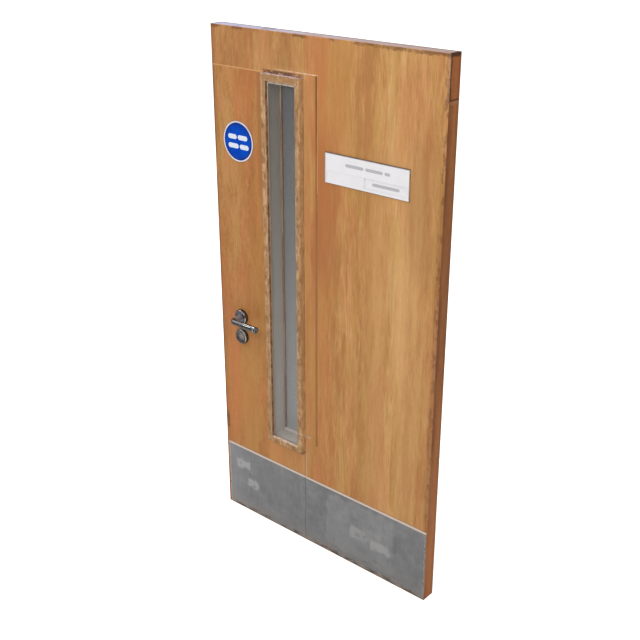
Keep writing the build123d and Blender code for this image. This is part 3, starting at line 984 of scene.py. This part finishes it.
# Signs. Bars are (left, right, middle, height) in millimetres, from the lock edge and the foot.
SIGN_BARS = [(75, 119, 1642, 18), (125, 174, 1642, 18), (75, 128, 1608, 18), (134, 180, 1608, 18)]
PLATE_BARS = [(643, 722, 1627, 11), (729, 803, 1627, 11), (811, 834, 1627, 11),
              (757, 872, 1580, 11), (600, 690, 1580, 11)]
SIGN_BEVEL = 0.5 * MM
PLATE_BEVEL = 0.4 * MM
SLIDER_BEVEL = 0.3 * MM
wear("round_sign", round_sign_look("round_sign", 91, SIGN_BARS), SIGN_BEVEL)
wear("room_plate", plate_look("room_plate", 92, PLATE_BARS), PLATE_BEVEL)
wear("sign_slider", plate_look("sign_slider", 93), SLIDER_BEVEL)

GASKET_WIDTH = 1.8 * MM
GASKET_DEPTH = 1.0 * MM
form = ring((PLATE_LOW.x, PLATE_LOW.z), (PLATE_HIGH.x, PLATE_HIGH.z),
            (PLATE_LOW.x - GASKET_WIDTH, PLATE_LOW.z - GASKET_WIDTH),
            (PLATE_HIGH.x + GASKET_WIDTH, PLATE_HIGH.z + GASKET_WIDTH), FRONT_FACE, FRONT_FACE - GASKET_DEPTH)
gasket = line_look("plate_gasket", 94, (66, 58, 54), (104, 92, 84))
add_piece("room_plate_gasket", form, gasket, bevel=TRIM_BEVEL)

# Room, lights and camera
WHITE = (1.0, 1.0, 1.0, 1.0)  # linear, as is the grey of the floor
SKY_LOW = 0.36  # brightness of the room at eye level
SKY_HIGH = 1.08  # and straight above
SKY_RISE = (0.15, 0.85)  # heights of direction between which it brightens
FLOOR_HALF = 60.0
FLOOR_GREY = (0.7, 0.7, 0.7, 1.0)
FLOOR_GLOW = 0.75  # keeps the floor white to the camera
CAMERA_PLACE = (1.734, -2.6391, 2.532)
CAMERA_YAW = math.radians(-40.82)
CAMERA_PITCH = math.radians(-23.71)
CAMERA_LENS = 57.05  # millimetres
SENSOR_WIDTH = 36.0  # millimetres
LAMPS = (  # place, width and height, and power; all point at the handle
    ("left_high", (-3.09, 0.26, 3.56), (0.3, 1.6), 34.0),
    ("left_low", (-3.18, -1.7, 2.95), (0.3, 1.0), 20.0),
    ("front", (0.16, -2.6, 2.9), (1.2, 0.5), 20.0),
    ("right", (2.0, -1.5, 3.2), (0.5, 0.5), 8.0),
)


def add_object(name, data):
    made = bpy.data.objects.new(name, data)
    bpy.context.scene.collection.objects.link(made)
    return made


def studio():
    """A white room, lit softly from all round, with a white view behind."""
    scene = bpy.context.scene
    scene.view_settings.view_transform = "Standard"
    world = bpy.data.worlds.new("studio")
    scene.world = world
    world.use_nodes = True
    tree = world.node_tree
    light_path = tree.nodes.new("ShaderNodeLightPath")
    axes = tree.nodes.new("ShaderNodeSeparateXYZ")
    tree.links.new(tree.nodes.new("ShaderNodeTexCoord").outputs["Generated"], axes.inputs[0])
    rise = tree.nodes.new("ShaderNodeMapRange")
    rise.interpolation_type = "SMOOTHSTEP"
    rise.inputs["From Min"].default_value, rise.inputs["From Max"].default_value = SKY_RISE
    rise.inputs["To Min"].default_value = SKY_LOW
    rise.inputs["To Max"].default_value = SKY_HIGH
    tree.links.new(axes.outputs["Z"], rise.inputs["Value"])
    lit = tree.nodes["Background"]
    lit.inputs["Color"].default_value = WHITE
    tree.links.new(rise.outputs["Result"], lit.inputs["Strength"])
    seen = tree.nodes.new("ShaderNodeBackground")
    seen.inputs["Color"].default_value = WHITE
    seen.inputs["Strength"].default_value = 1.0
    choice = tree.nodes.new("ShaderNodeMixShader")
    tree.links.new(light_path.outputs["Is Camera Ray"], choice.inputs[0])
    tree.links.new(lit.outputs[0], choice.inputs[1])
    tree.links.new(seen.outputs[0], choice.inputs[2])
    tree.links.new(choice.outputs[0], tree.nodes["World Output"].inputs["Surface"])


def floor():
    """A wide pale floor under the leaf."""
    form = bmesh.new()
    bmesh.ops.create_grid(form, x_segments=1, y_segments=1, size=FLOOR_HALF)
    mesh = bpy.data.meshes.new("floor")
    form.to_mesh(mesh)
    form.free()
    ground = add_object("floor", mesh)
    look = Look("floor", roughness=0.95, specular=0.0)
    seen = look.add("LightPath", "Is Camera Ray")
    mesh.materials.append(look.finish(Base_Color=FLOOR_GREY, Emission_Color=WHITE,
                                      Emission_Strength=seen * FLOOR_GLOW))


def look_along(holder, place, direction):
    """Puts a camera or a lamp in its place, and points it."""
    holder.location = place
    holder.rotation_euler = direction.to_track_quat("-Z", "Y").to_euler()


def camera():
    """The photograph's view."""
    data = bpy.data.cameras.new("camera")
    data.sensor_width = SENSOR_WIDTH
    data.lens = CAMERA_LENS
    level = math.cos(CAMERA_PITCH)
    forward = Vector((math.sin(CAMERA_YAW) * level, math.cos(CAMERA_YAW) * level, math.sin(CAMERA_PITCH)))
    bpy.context.scene.camera = add_object("camera", data)
    look_along(bpy.context.scene.camera, CAMERA_PLACE, forward)


def soft_light(name, place, size, power):
    lamp = bpy.data.lights.new(name, "AREA")
    lamp.shape = "RECTANGLE"
    lamp.size, lamp.size_y = size
    lamp.energy = power
    look_along(add_object(name, lamp), place, HANDLE - Vector(place))


studio()
floor()
camera()
for lamp in LAMPS:
    soft_light(*lamp)
